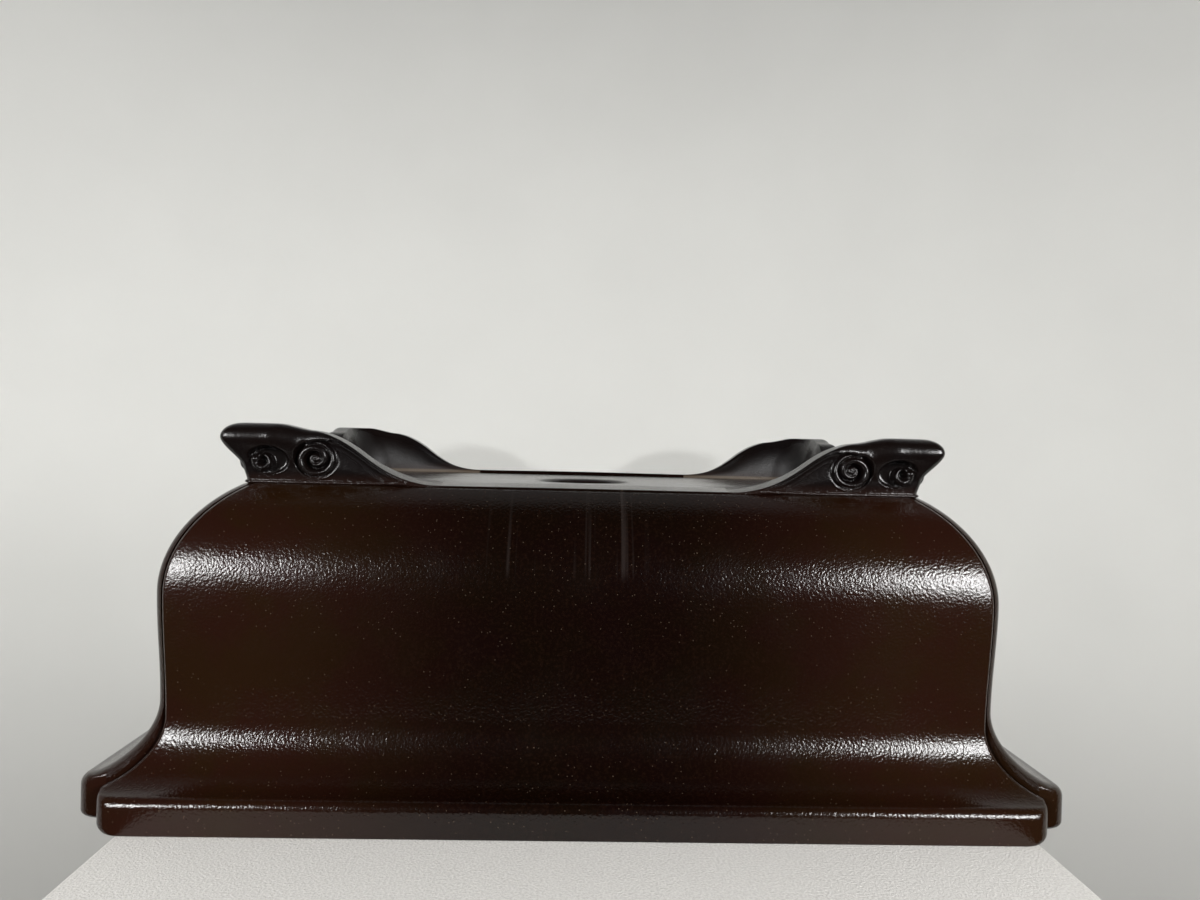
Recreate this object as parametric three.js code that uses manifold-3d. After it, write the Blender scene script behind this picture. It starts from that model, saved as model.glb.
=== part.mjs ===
// Rectangular bonsai pot, slab built: ogee walls with stepped corners, an outward lip and scroll feet.
// It stands upside down on its rim, as such a pot is dried, stored and shown from below.
// Millimetres. The origin is the centre of the rim plane, X runs along the long side,
// the front faces -Y, and +Z runs from the rim to the soles of the feet.

import * as THREE from 'three';
import { mergeVertices } from 'three/addons/utils/BufferGeometryUtils.js';
import Module from 'manifold-3d';

const wasm = await Module();
wasm.setup();

// Overall sizes
const rimLength = 450; // outside of the lip, left to right
const rimWidth = 318; // outside of the lip, front to back
const bodyHeight = 150; // rim plane to the base edge that carries the feet
const footHeight = 29.5; // base edge to the sole
const clayThickness = 10.5; // wall, square to its face
const floorThickness = 10; // floor slab
const joint = 0.2; // half the width of a slip joint between two pieces

// Lip and wall profile. An inset is measured inwards from the rim's outer face.
const lipEdge = 15; // height at which the long sides' flare would meet the lip's outer face
const lipProjection = 27.7; // how far the lip stands out from the waist
const lipArris = 2.5; // rounding along the upper outer edge of the long sides' lip
const shortLipArris = 5; // the same on the short sides, whose lip is thicker by this much
const mouthArris = 6; // rounding along the lip's outer edge at the rim plane
const innerArris = 1.5; // bevel along the mouth's inner edge
const flareRadius = 35.2; // concave curve between lip and waist on the long sides
const bellyProud = 1.65; // how far the belly stands out from the waist
const shoulderRadius = 56.5; // convex curve from the belly over to the base
const shoulderTurn = 62.1; // how far that curve turns, in degrees

// Stepped corners, seen in plan
const cornerStep = 5.4; // step between two walls
const lipStep = 14.6; // the same step at the lip
const wallArris = 2.5; // rounding of a wall's upright end
const lipCorner = 6; // rounding of a lip strip's end

// Base rail between the feet
const railHeight = 2;
const plateThickness = 9; // thickness of the rail and of the foot plates
const railFrontRound = 1.6;
const railBackRound = 0.8;

// Drain and tie-wire holes in the floor
const drainBore = 48; // clear diameter
const drainFlare = 7; // rounding of the hole on the underside
const drainInnerRound = 2.5; // rounding of the hole on the soil side
const wireHole = 5;
const wireHoleX = 96;
const wireHoleY = 42;

// Clay coils pressed into the inner corners
const cornerCoil = 8; // fillet radius of the upright coils
const coilEdge = 0.8; // thickness at which a coil runs out on its wall
const coilStart = 5; // height above the rim plane at which the upright coils start
const seamCoilRise = 5; // height of the coils along the floor
const seamCoilReach = 8; // their reach over the floor slab

// Scroll feet. Distances along an arm start at the foot's outer corner at its root.
const frontArm = 97; // length of the arms on the long sides
const frontTail = 37.5; // from the middle of the fall to the arm's end there
const sideArm = 80; // length of the arms on the short sides
const sideTail = 27; // from the middle of the fall to the arm's end there
const soleFlat = 19.8; // flat stretch of the sole
const crownAt = 34.8; // where the arm's edge crowns over the large scroll
const crownDrop = 3.1; // how far it lies below the sole there
const fallDrop = 14; // the same at the middle of the fall
const rootTuck = 1.2; // how far the root is set back from the base edge
const coveStart = 7.8; // height of the upright part below the cove
const toeReach = 8.4; // how far the toe stands out from the base edge
const toeDrop = 6.9; // height of the rounding from the toe's tip to the sole
const toeTurn = 8.6; // depth of that rounding
const footCorner = 3.5; // rounding of the foot's outer corner in plan

// Scrolls in relief on each face of each foot
const scrollGround = 0.4; // sunken ground round a scroll, in front of the base edge
const cordStand = 1.2; // upright stretch of a scroll cord's sides, below its rounding
const bowlTaper = 1.6; // how much a bowl widens towards its mouth
const largeScroll = { along: 37.1, radius: 7.4, end: 1.6, turns: 1.75, cord: 1.5, eye: 2.2 };
const largeBowl = { along: 37.1, width: 10.4, height: 10.2 };
const smallScroll = { along: 11.8, radius: 4.1, end: 1.6, turns: 0.9, cord: 1.4, eye: 1.9 };
const smallBowl = { along: 14.9, width: 8.6, height: 7.2 };
const smallScrollDrop = 0.5; // how much lower than the large scroll the small one sits
const smallBowlDrop = 2.2; // the same for its bowl

// Values worked out from the sizes above
const quarter = Math.PI / 2;
const halfLength = rimLength / 2;
const halfWidth = rimWidth / 2;
const waistHeight = lipEdge + Math.sqrt(flareRadius ** 2 - (lipProjection - flareRadius) ** 2);
const bellyInset = lipProjection - bellyProud;
const baseAngle = THREE.MathUtils.degToRad(shoulderTurn);
const shoulderStart = bodyHeight - shoulderRadius * Math.sin(baseAngle);
const shoulderCentre = bellyInset + shoulderRadius;
const baseInset = shoulderCentre - shoulderRadius * Math.cos(baseAngle);
const seatInset = baseInset + plateThickness;
const floorInside = bodyHeight - floorThickness;
const undercut = 1.2; // height of the slope that leads the wall onto the floor's edge
const slopeStart = floorInside - undercut;
const longSide = { flare: flareRadius, arris: lipArris, top: flareHeight(lipArris, flareRadius) };
const shortLipTop = longSide.top + shortLipArris;
const shortSide = { flare: shortFlare(), arris: shortLipArris, top: shortLipTop };
const seamCoilStart = floorInside - seamCoilRise;
const rootX = halfLength - baseInset;
const rootY = halfWidth - baseInset;
const toeHeight = footHeight - toeDrop;
const scrollHeight = (footHeight - crownDrop) / 2;

// Wall profile

function flareHeight(inset, radius) {
  return waistHeight - Math.sqrt(radius ** 2 - (inset - lipProjection + radius) ** 2);
}

// Radius at which the short sides' flare joins their lip to the same waist.
function shortFlare() {
  const reach = lipProjection - shortLipArris;
  return (reach ** 2 + (waistHeight - shortLipTop) ** 2) / (2 * reach);
}

function flareInset(z, radius, surface) {
  return lipProjection - radius + Math.sqrt(surface ** 2 - (waistHeight - z) ** 2);
}

function outerInset(z, side) {
  if (z < waistHeight) {
    return flareInset(z, side.flare, side.flare);
  }
  if (z < shoulderStart) {
    const rise = THREE.MathUtils.smoothstep(z, waistHeight, shoulderStart);
    return THREE.MathUtils.lerp(lipProjection, bellyInset, rise);
  }
  const level = Math.min(z, bodyHeight) - shoulderStart;
  return shoulderCentre - Math.sqrt(shoulderRadius ** 2 - level ** 2);
}

// The inside is the same on all four sides.
function innerInset(z) {
  if (z < waistHeight) {
    return flareInset(Math.max(z, longSide.top), flareRadius, flareRadius + clayThickness);
  }
  if (z < shoulderStart) {
    return outerInset(z, longSide) + clayThickness;
  }
  const radius = shoulderRadius - clayThickness;
  const level = Math.min(z, slopeStart) - shoulderStart;
  const inset = shoulderCentre - Math.sqrt(radius ** 2 - level ** 2);
  const slope = THREE.MathUtils.clamp((z - slopeStart) / undercut, 0, 1);
  return THREE.MathUtils.lerp(inset, seatInset, slope);
}

// The step grows towards the lip, where the flare runs out past the wall's end.
function stepAt(inset) {
  return cornerStep + Math.max(0, lipStep - cornerStep - inset);
}

function arrisAt(inset) {
  const share = (stepAt(inset) - cornerStep) / (lipStep - cornerStep);
  return THREE.MathUtils.lerp(wallArris, lipCorner, share);
}

function spread(from, to, count) {
  return Array.from({ length: count + 1 }, (_, i) => THREE.MathUtils.lerp(from, to, i / count));
}

// The flare and the shoulder are stepped by equal angles, so that their facets are alike.
function profileHeights(side) {
  const wallEnd = flareHeight(lipStep - cornerStep, side.flare);
  const flareAngle = Math.asin((waistHeight - wallEnd) / side.flare);
  const flare = spread(flareAngle, 0, 7).map((angle) => waistHeight - side.flare * Math.sin(angle));
  const belly = spread(waistHeight, shoulderStart, 4).slice(1, -1);
  const shoulderAngle = Math.asin((slopeStart - shoulderStart) / shoulderRadius);
  const shoulder = spread(0, shoulderAngle, 6).map((angle) => {
    return shoulderStart + shoulderRadius * Math.sin(angle);
  });
  const seat = spread(floorInside, bodyHeight, 2);
  return [side.top, ...flare, ...belly, ...shoulder, ...seat];
}

// Solids

function closedMesh(positions, triangles) {
  const geometry = new THREE.BufferGeometry();
  geometry.setAttribute('position', new THREE.Float32BufferAttribute(positions, 3));
  geometry.setIndex(triangles);
  return geometry;
}

function signedVolume(positions, triangles) {
  const corner = (i) => new THREE.Vector3().fromArray(positions, 3 * i);
  let volume = 0;
  for (let i = 0; i < triangles.length; i += 3) {
    const [a, b, c] = [0, 1, 2].map((k) => corner(triangles[i + k]));
    volume += a.dot(b.cross(c)) / 6;
  }
  return volume;
}

// One closed body with shared corners, no empty triangles and its faces pointing out.
function closedBody(geometry) {
  const bare = geometry.clone();
  bare.deleteAttribute('normal');
  bare.deleteAttribute('uv');
  const merged = mergeVertices(bare, 1e-4);
  const positions = Array.from(merged.attributes.position.array);
  const all = Array.from(merged.index.array);
  const triangles = all.filter((_, i) => {
    const [a, b, c] = all.slice(i - (i % 3), i - (i % 3) + 3);
    return a !== b && b !== c && c !== a;
  });
  if (signedVolume(positions, triangles) < 0) {
    triangles.reverse();
  }
  return closedMesh(positions, triangles);
}

function solidOf(geometry) {
  const body = closedBody(geometry);
  const vertProperties = new Float32Array(body.attributes.position.array);
  const triVerts = new Uint32Array(body.index.array);
  return new wasm.Manifold(new wasm.Mesh({ numProp: 3, vertProperties, triVerts }));
}

function geometryOf(solid) {
  const mesh = solid.getMesh();
  return closedMesh(Array.from(mesh.vertProperties), Array.from(mesh.triVerts));
}

// Joins rings of equal length, each anticlockwise seen from above, from the lowest up.
function loft(rings) {
  const count = rings[0].length;
  const positions = rings.flat().flatMap((p) => [p.x, p.y, p.z]);
  const triangles = [];
  for (let level = 0; level + 1 < rings.length; level++) {
    for (let i = 0; i < count; i++) {
      const a = level * count + i;
      const b = level * count + ((i + 1) % count);
      triangles.push(a, b, b + count, a, b + count, a + count);
    }
  }
  const top = (rings.length - 1) * count;
  for (const [a, b, c] of THREE.ShapeUtils.triangulateShape(rings[0], [])) {
    triangles.push(c, b, a);
  }
  for (const [a, b, c] of THREE.ShapeUtils.triangulateShape(rings.at(-1), [])) {
    triangles.push(top + a, top + b, top + c);
  }
  return closedBody(closedMesh(positions, triangles));
}

function arc(cx, cy, radius, from, to, count, z) {
  return spread(from, to, count).map((angle) => {
    return new THREE.Vector3(cx + radius * Math.cos(angle), cy + radius * Math.sin(angle), z);
  });
}

// Walls and lip strips

// Plan of the piece on the -Y side of a rectangle of half sizes long and short. Its ends are set
// back by the corner step, and behind the step they are mitred at 45 degrees.
function panelRing(long, short, { z, outer, inner, step, arris }) {
  const end = long - outer - step;
  const face = short - outer;
  return [
    ...arc(-end + arris, -face + arris, arris, -2 * quarter, -quarter, 4, z),
    ...arc(end - arris, -face + arris, arris, -quarter, 0, 4, z),
    new THREE.Vector3(end, -face + step - joint, z),
    new THREE.Vector3(long - inner - joint, -(short - inner), z),
    new THREE.Vector3(-(long - inner - joint), -(short - inner), z),
    new THREE.Vector3(-end, -face + step - joint, z),
  ];
}

function wallLevels(side) {
  return profileHeights(side).map((z) => {
    const outer = outerInset(z, side);
    return { z, outer, inner: innerInset(z), step: stepAt(outer), arris: arrisAt(outer) };
  });
}

function lipLevelsBelow() {
  const width = innerInset(0);
  return spread(0, quarter, 4).map((angle) => {
    const z = mouthArris * (1 - Math.cos(angle));
    const outer = mouthArris * (1 - Math.sin(angle));
    const inner = width - Math.max(0, innerArris - z);
    return { z, outer, inner, step: lipStep, arris: lipCorner };
  });
}

function lipLevelsAbove({ top, arris }) {
  return spread(0, quarter, 3).map((angle) => {
    const z = top - arris * (1 - Math.sin(angle));
    const outer = arris * (1 - Math.cos(angle));
    return { z, outer, inner: innerInset(z), step: stepAt(outer), arris: arrisAt(outer) };
  });
}

function lipLevels(side) {
  return [...lipLevelsBelow(), ...lipLevelsAbove(side)];
}

function panel(levels, long, short) {
  return loft(levels.map((level) => panelRing(long, short, level)));
}

// Coils pressed into the inner corners

const seamCoilLevels = seamHeights().map((z) => {
  const outer = innerInset(z + 2 * joint) + joint;
  const rise = Math.min(1, (z - seamCoilStart) / (seamCoilRise - coilEdge));
  const start = innerInset(seamCoilStart + 2 * joint) + joint + coilEdge;
  return { z, outer, inner: THREE.MathUtils.lerp(start, seatInset + seamCoilReach, rise) };
});

function seamHeights() {
  const edge = floorInside - coilEdge;
  return [...spread(seamCoilStart, slopeStart - 2 * joint, 3), edge, floorInside];
}

function seamCoil(long, short) {
  const rings = seamCoilLevels.map(({ z, outer, inner }) => [
    new THREE.Vector3(-(long - outer - joint), -(short - outer), z),
    new THREE.Vector3(long - outer - joint, -(short - outer), z),
    new THREE.Vector3(long - inner - joint, -(short - inner), z),
    new THREE.Vector3(-(long - inner - joint), -(short - inner), z),
  ]);
  return loft(rings);
}

// The upright coil in the corner at +X, -Y
function uprightCoil() {
  const last = seamCoilStart - 2 * joint;
  const between = profileHeights(longSide).filter((z) => z > coilStart && z < last);
  const reach = cornerCoil + coilEdge;
  const rings = [coilStart, ...between, last].map((z) => {
    const inset = innerInset(z) + 2 * joint;
    const x = halfLength - inset;
    const y = -(halfWidth - inset);
    return [
      new THREE.Vector3(x, y, z),
      new THREE.Vector3(x, y + reach, z),
      ...arc(x - reach, y + reach, cornerCoil, 0, -quarter, 4, z),
      new THREE.Vector3(x - reach, y, z),
    ];
  });
  return loft(rings);
}

// Floor slab

// The drain's cutter: straight in the middle and rounded outwards at both faces.
function drainCutter(over) {
  const bore = drainBore / 2;
  const inside = spread(0, quarter, 2).map((angle) => {
    const x = bore + drainInnerRound * (1 - Math.sin(angle));
    return new THREE.Vector2(x, floorInside + drainInnerRound * (1 - Math.cos(angle)));
  });
  const outside = spread(0, quarter, 4).map((angle) => {
    const x = bore + drainFlare * (1 - Math.cos(angle));
    return new THREE.Vector2(x, bodyHeight - drainFlare * (1 - Math.sin(angle)));
  });
  const profile = [
    new THREE.Vector2(0, floorInside - over),
    new THREE.Vector2(bore + drainInnerRound, floorInside - over),
    ...inside,
    ...outside,
    new THREE.Vector2(bore + drainFlare, bodyHeight + over),
    new THREE.Vector2(0, bodyHeight + over),
  ];
  return new THREE.LatheGeometry(profile, 28).rotateX(quarter);
}

function floorSlab() {
  const over = 2; // the cutters run past both faces
  const middle = bodyHeight - floorThickness / 2;
  const long = halfLength - seatInset - 2 * joint;
  const short = halfWidth - seatInset - 2 * joint;
  const slab = new THREE.BoxGeometry(2 * long, 2 * short, floorThickness).translate(0, 0, middle);
  let solid = solidOf(slab).subtract(solidOf(drainCutter(over)));
  for (const x of [-wireHoleX, wireHoleX]) {
    for (const y of [-wireHoleY, wireHoleY]) {
      const height = floorThickness + 2 * over;
      const hole = new THREE.CylinderGeometry(wireHole / 2, wireHole / 2, height, 8);
      solid = solid.subtract(solidOf(hole.rotateX(quarter).translate(x, y, middle)));
    }
  }
  return geometryOf(solid);
}

// Base rail on the -Y side, between two feet

function baseRail(length, edge) {
  const face = -edge;
  const back = face + plateThickness;
  const top = bodyHeight + railHeight;
  const outline = new THREE.Shape();
  outline.moveTo(face, bodyHeight);
  outline.lineTo(back, bodyHeight);
  outline.lineTo(back, top - railBackRound);
  outline.quadraticCurveTo(back, top, back - railBackRound, top);
  outline.lineTo(face + railFrontRound, top);
  outline.quadraticCurveTo(face, top, face, top - railFrontRound);
  outline.closePath();
  const settings = { depth: length, bevelEnabled: false, curveSegments: 5 };
  const rail = new THREE.ExtrudeGeometry(outline, settings).translate(0, 0, -length / 2);
  return closedBody(rail.rotateX(quarter).rotateZ(quarter));
}

// Feet. Each is made for the corner at +X, -Y.

// Height and reach up the face: upright at the root, a cove out to the toe, and its rounding.
function footFace() {
  const cove = new THREE.CubicBezierCurve(
    new THREE.Vector2(coveStart, 0),
    new THREE.Vector2(coveStart + 3.5, 0.1),
    new THREE.Vector2(toeHeight - 4.5, toeReach),
    new THREE.Vector2(toeHeight, toeReach),
  );
  const turn = spread(0, quarter, 4).map((angle) => {
    const up = toeHeight + toeDrop * Math.sin(angle);
    return new THREE.Vector2(up, toeReach - toeTurn * (1 - Math.cos(angle)));
  });
  return [
    new THREE.Vector2(0, -rootTuck),
    new THREE.Vector2(coveStart / 2, -rootTuck / 2),
    ...cove.getPoints(7),
    ...turn.slice(1),
  ];
}

// The two moulded plates at full height, joined at the corner
function footBlock() {
  const endX = rootX - frontArm;
  const endY = rootY - sideArm;
  const backX = rootX - plateThickness;
  const backY = rootY - plateThickness;
  const rings = footFace().map(({ x: up, y: out }) => {
    const x = rootX + out;
    const y = rootY + out;
    const z = bodyHeight + up;
    return [
      new THREE.Vector3(endX, -y, z),
      ...arc(x - footCorner, -y + footCorner, footCorner, -quarter, 0, 4, z),
      new THREE.Vector3(x, -endY, z),
      new THREE.Vector3(backX, -endY, z),
      new THREE.Vector3(backX, -backY, z),
      new THREE.Vector3(endX, -backY, z),
    ];
  });
  return solidOf(loft(rings));
}

// All that lies below an arm's edge, x along the arm and y up from the base edge: the flat sole,
// a crown over the large scroll, a long fall, and a tail that runs out level with the rail.
function armOutline(arm, tail) {
  const over = 30; // the outline runs past the toe and below the root
  const fall = arm - tail;
  const fallHeight = footHeight - fallDrop;
  const crown = footHeight - crownDrop;
  const tailReach = 0.45 * tail;
  const fallReach = 0.25 * tail;
  const outline = new THREE.Shape();
  outline.moveTo(-over, -over);
  outline.lineTo(arm + over, -over);
  outline.lineTo(arm + over, railHeight);
  outline.lineTo(arm, railHeight);
  outline.bezierCurveTo(arm - tailReach, railHeight, fall + fallReach, fallHeight - 7.2, fall, fallHeight);
  outline.bezierCurveTo(fall - 7.5, fallHeight + 5.7, crownAt + 8.5, crown - 0.6, crownAt, crown);
  outline.bezierCurveTo(crownAt - 6.5, crown + 0.5, soleFlat + 5.5, footHeight, soleFlat, footHeight);
  outline.lineTo(-over, footHeight);
  outline.closePath();
  return outline;
}

// Places a shape on a foot's face: x along the arm, y up from the base edge, z out of the face.
function onFace(geometry, side) {
  const up = new THREE.Vector3(0, 0, 1);
  const along = side === 'front' ? new THREE.Vector3(-1, 0, 0) : new THREE.Vector3(0, 1, 0);
  const out = side === 'front' ? new THREE.Vector3(0, -1, 0) : new THREE.Vector3(1, 0, 0);
  const place = new THREE.Matrix4().makeBasis(along, up, out).setPosition(rootX, -rootY, bodyHeight);
  return solidOf(geometry.clone().applyMatrix4(place));
}

function armCutter(arm, tail, side) {
  const reach = 2 * rimLength;
  const settings = { depth: reach, bevelEnabled: false, curveSegments: 9 };
  const cutter = new THREE.ExtrudeGeometry(armOutline(arm, tail), settings);
  return onFace(cutter.translate(0, 0, -reach / 2), side);
}

class ScrollLine extends THREE.Curve {
  constructor({ along, radius, end, turns }, up, startAngle) {
    super();
    Object.assign(this, { along, radius, end, turns, up, startAngle });
  }

  getPoint(t, target = new THREE.Vector3()) {
    const angle = this.startAngle + 2 * Math.PI * this.turns * t;
    const radius = THREE.MathUtils.lerp(this.radius, this.end, t);
    const x = this.along + radius * Math.cos(angle);
    const y = this.up + radius * Math.sin(angle);
    return target.set(x, y, scrollGround);
  }
}

function scroll(size, up, startAngle) {
  const section = new THREE.Shape();
  section.absarc(cordStand, 0, size.cord, -quarter, quarter);
  section.absarc(-cordStand, 0, size.cord, quarter, 3 * quarter);
  const steps = Math.round(14 * size.turns);
  const extrudePath = new ScrollLine(size, up, startAngle);
  const settings = { steps, curveSegments: 2, bevelEnabled: false, extrudePath };
  const cord = new THREE.ExtrudeGeometry(section, settings);
  const eye = new THREE.SphereGeometry(size.eye, 10, 6).rotateX(quarter);
  const crest = cordStand + size.cord;
  eye.scale(1, 1, crest / size.eye).translate(size.along, up, scrollGround);
  return [cord, eye];
}

function bowl({ along, width, height }, up) {
  const depth = toeReach + bowlTaper;
  const cutter = new THREE.CylinderGeometry(1 + bowlTaper / width, 1, depth, 16);
  cutter.rotateX(quarter).scale(width, height, 1);
  return cutter.translate(along, up, scrollGround + depth / 2);
}

function foot() {
  let solid = footBlock();
  solid = solid.intersect(armCutter(frontArm, frontTail, 'front'));
  solid = solid.intersect(armCutter(sideArm, sideTail, 'end'));
  for (const side of ['front', 'end']) {
    const bowls = [bowl(largeBowl, scrollHeight), bowl(smallBowl, scrollHeight - smallBowlDrop)];
    const scrolls = [
      ...scroll(largeScroll, scrollHeight, 1.1 * Math.PI),
      ...scroll(smallScroll, scrollHeight - smallScrollDrop, 1.25 * Math.PI),
    ];
    for (const cutter of bowls) {
      solid = solid.subtract(onFace(cutter, side));
    }
    for (const piece of scrolls) {
      solid = solid.add(onFace(piece, side));
    }
  }
  return geometryOf(solid);
}

// The pot

const glazedClay = { color: 0x2a1a15, roughness: 0.32, metalness: 0 };
const footClay = { color: 0x241a17, roughness: 0.45, metalness: 0 };
const bareClay = { color: 0x4a3026, roughness: 0.85, metalness: 0 };

const pot = new THREE.Group();

function addPiece(name, geometry, finish) {
  const mesh = new THREE.Mesh(geometry, new THREE.MeshStandardMaterial(finish));
  mesh.name = name;
  pot.add(mesh);
  return mesh;
}

// A piece for each side: the long one is made for the front and the short one for the right.
function addRound(name, makeLong, makeShort, finish) {
  addPiece(`${name}_front`, makeLong, finish);
  addPiece(`${name}_back`, makeLong, finish).rotation.z = 2 * quarter;
  addPiece(`${name}_right`, makeShort, finish).rotation.z = quarter;
  addPiece(`${name}_left`, makeShort, finish).rotation.z = -quarter;
}

// A piece for each corner, mirrored from the one at +X, -Y.
function addCorners(name, geometry, finish) {
  for (const [end, y] of [['front', 1], ['back', -1]]) {
    for (const [hand, x] of [['right', 1], ['left', -1]]) {
      addPiece(`${name}_${end}_${hand}`, closedBody(geometry.clone().scale(x, y, 1)), finish);
    }
  }
}

addPiece('floor_slab', floorSlab(), glazedClay);
for (const [name, levels] of [['wall', wallLevels], ['lip', lipLevels]]) {
  const long = panel(levels(longSide), halfLength, halfWidth);
  const short = panel(levels(shortSide), halfWidth, halfLength);
  addRound(name, long, short, glazedClay);
}
addRound('seam_coil', seamCoil(halfLength, halfWidth), seamCoil(halfWidth, halfLength), bareClay);
addCorners('corner_coil', uprightCoil(), bareClay);
const longRail = 2 * (rootX - frontArm - 2 * joint);
const shortRail = 2 * (rootY - sideArm - 2 * joint);
addRound('base_rail', baseRail(longRail, rootY), baseRail(shortRail, rootX), glazedClay);
addCorners('foot', foot(), footClay);

export default pot;
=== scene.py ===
# %% [markdown]
# # A rectangular bonsai pot, standing upside down on its rim
#
# The pot is built from clay slabs: four walls with an S-shaped profile, a lip that turns outwards,
# a floor with a drain hole, and four moulded corner feet with scrolls. A fixed frame of plain solids
# says where each piece is. This lesson puts the finished surfaces round that frame: smooth walls,
# softly moulded feet, and a glossy brown glaze with the texture of orange peel.

# %% Load the frame
import math

import bmesh
import bpy
from mathutils import Matrix, Vector
from mathutils.geometry import interpolate_bezier


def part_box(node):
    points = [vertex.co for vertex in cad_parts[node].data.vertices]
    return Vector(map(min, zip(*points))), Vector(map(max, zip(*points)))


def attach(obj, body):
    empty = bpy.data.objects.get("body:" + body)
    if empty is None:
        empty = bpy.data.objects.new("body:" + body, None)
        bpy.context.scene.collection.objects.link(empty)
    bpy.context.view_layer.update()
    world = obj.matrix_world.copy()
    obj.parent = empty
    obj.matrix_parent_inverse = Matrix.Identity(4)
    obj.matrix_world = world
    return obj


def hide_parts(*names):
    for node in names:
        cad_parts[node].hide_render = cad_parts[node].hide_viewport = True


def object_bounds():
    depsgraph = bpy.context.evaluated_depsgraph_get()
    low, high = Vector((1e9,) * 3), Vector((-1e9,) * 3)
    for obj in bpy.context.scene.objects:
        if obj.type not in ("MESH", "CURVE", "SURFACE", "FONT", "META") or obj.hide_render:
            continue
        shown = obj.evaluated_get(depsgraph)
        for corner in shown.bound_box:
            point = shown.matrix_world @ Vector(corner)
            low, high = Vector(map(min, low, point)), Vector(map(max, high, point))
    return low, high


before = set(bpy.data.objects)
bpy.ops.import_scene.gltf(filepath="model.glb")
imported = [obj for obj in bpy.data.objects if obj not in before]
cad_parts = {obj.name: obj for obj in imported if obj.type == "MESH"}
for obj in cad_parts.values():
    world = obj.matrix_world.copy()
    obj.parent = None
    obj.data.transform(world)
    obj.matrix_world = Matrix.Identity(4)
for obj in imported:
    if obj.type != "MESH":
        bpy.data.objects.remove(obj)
cad_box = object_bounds()
print("nodes in the frame:", len(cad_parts))

# %% [markdown]
# ## Sizes
#
# The overall sizes are read from the frame, so the surfaces stay right if the solids change. Only
# the radii of the curves are written down here. Lengths are in millimetres, the unit in which a
# potter would give them, and they are turned into metres when a point is placed.

# %% Sizes from the frame
MM = 0.001


def high(node):
    """The highest corner of a solid, in millimetres."""
    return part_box(node)[1] / MM


def low(node):
    """The lowest corner of a solid, in millimetres."""
    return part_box(node)[0] / MM


half_length = cad_box[1].x / MM
half_width = cad_box[1].y / MM
body_height = high("wall_front").z
foot_height = cad_box[1].z / MM - body_height
lip_top = high("lip_right").z
lip_step = half_length - high("lip_front").x
root_x = high("base_rail_right").x
root_y = high("base_rail_back").y
plate = root_x - low("base_rail_right").x
rail_height = high("base_rail_front").z - body_height
front_arm = root_x - low("foot_front_right").x
side_arm = root_y + high("foot_front_right").y
toe_reach = high("foot_front_right").x - root_x
floor_inside = low("floor_slab").z
print(f"pot {2 * half_length:.0f} x {2 * half_width:.0f} x {body_height + foot_height:.1f} mm")

# %% Radii of the wall's profile
clay = 10.5  # thickness of the wall, square to its face
lip_projection = 27.7  # how far the lip stands out from the waist
belly_proud = 1.65
inner_bevel = 1.5  # of the mouth's inner edge
shoulder_radius = 56.5
lip_corner = 9.0  # rounding of a lip strip's end, seen in plan

base_inset = half_length - root_x
seat_inset = base_inset + plate
belly_inset = lip_projection - belly_proud
shoulder_centre = belly_inset + shoulder_radius
shoulder_start = body_height - math.sqrt(shoulder_radius**2 - (shoulder_centre - base_inset) ** 2)
print(f"belly {belly_inset:.1f} mm in from the rim, shoulder from {shoulder_start:.1f} mm")

# %% [markdown]
# ## The camera
#
# The view is the photograph's: close in front of the pot, a little above it, so that the underside
# is seen at a glancing angle. The camera is placed by its position and three angles. A rotation is
# read from right to left: first the roll about its own axis, then the tilt, then the turn.

# %% Camera
camera_place = Vector((-0.0064, -0.5490, 0.1754))
camera_turn = math.radians(-1.679)
camera_tilt = math.radians(90 - 0.663)
camera_roll = math.radians(1.401)

camera = bpy.data.objects.new("camera", bpy.data.cameras.new("camera"))
bpy.context.scene.collection.objects.link(camera)
camera.data.lens = 27.03
camera.matrix_world = (
    Matrix.Translation(camera_place)
    @ Matrix.Rotation(camera_turn, 4, "Z")
    @ Matrix.Rotation(camera_tilt, 4, "X")
    @ Matrix.Rotation(camera_roll, 4, "Z")
)
bpy.context.scene.camera = camera
print(f"camera {-camera_place.y / MM:.0f} mm in front of the pot's middle")

# %% [markdown]
# ## Folding a grid
#
# Every face of this pot is a sheet of clay that bends smoothly. A grid is such a sheet: it starts
# flat, each of its points is moved to its place on the form, and the edges that meet are welded.
# Solid blocks cut to shape would also do, but a folded grid gives even quads, and those
# keep a highlight smooth on a glossy curve.

# %% The folding helper
WELD = 1e-6  # metres


def lerp(a, b, t):
    return a + (b - a) * t


def smoothstep(low_edge, high_edge, x):
    t = min(1.0, max(0.0, (x - low_edge) / (high_edge - low_edge)))
    return t * t * (3 - 2 * t)


def spread(start, end, count):
    """Evenly spaced values from start to end, both included."""
    return [lerp(start, end, i / count) for i in range(count + 1)]


def fold(rows):
    """A closed form from rows of points in millimetres, each row a closed ring."""
    across, along = len(rows[0]) - 1, len(rows) - 1
    bm = bmesh.new()
    bmesh.ops.create_grid(bm, x_segments=across, y_segments=along, size=0.5)
    for vert in bm.verts:
        i = round((vert.co.x + 0.5) * across)
        j = round((vert.co.y + 0.5) * along)
        vert.co = Vector(rows[j][i]) * MM
    bmesh.ops.remove_doubles(bm, verts=bm.verts, dist=WELD)
    ends = [edge for edge in bm.edges if edge.is_boundary]
    bmesh.ops.holes_fill(bm, edges=ends)
    bmesh.ops.recalc_face_normals(bm, faces=bm.faces)
    return bm


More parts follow.
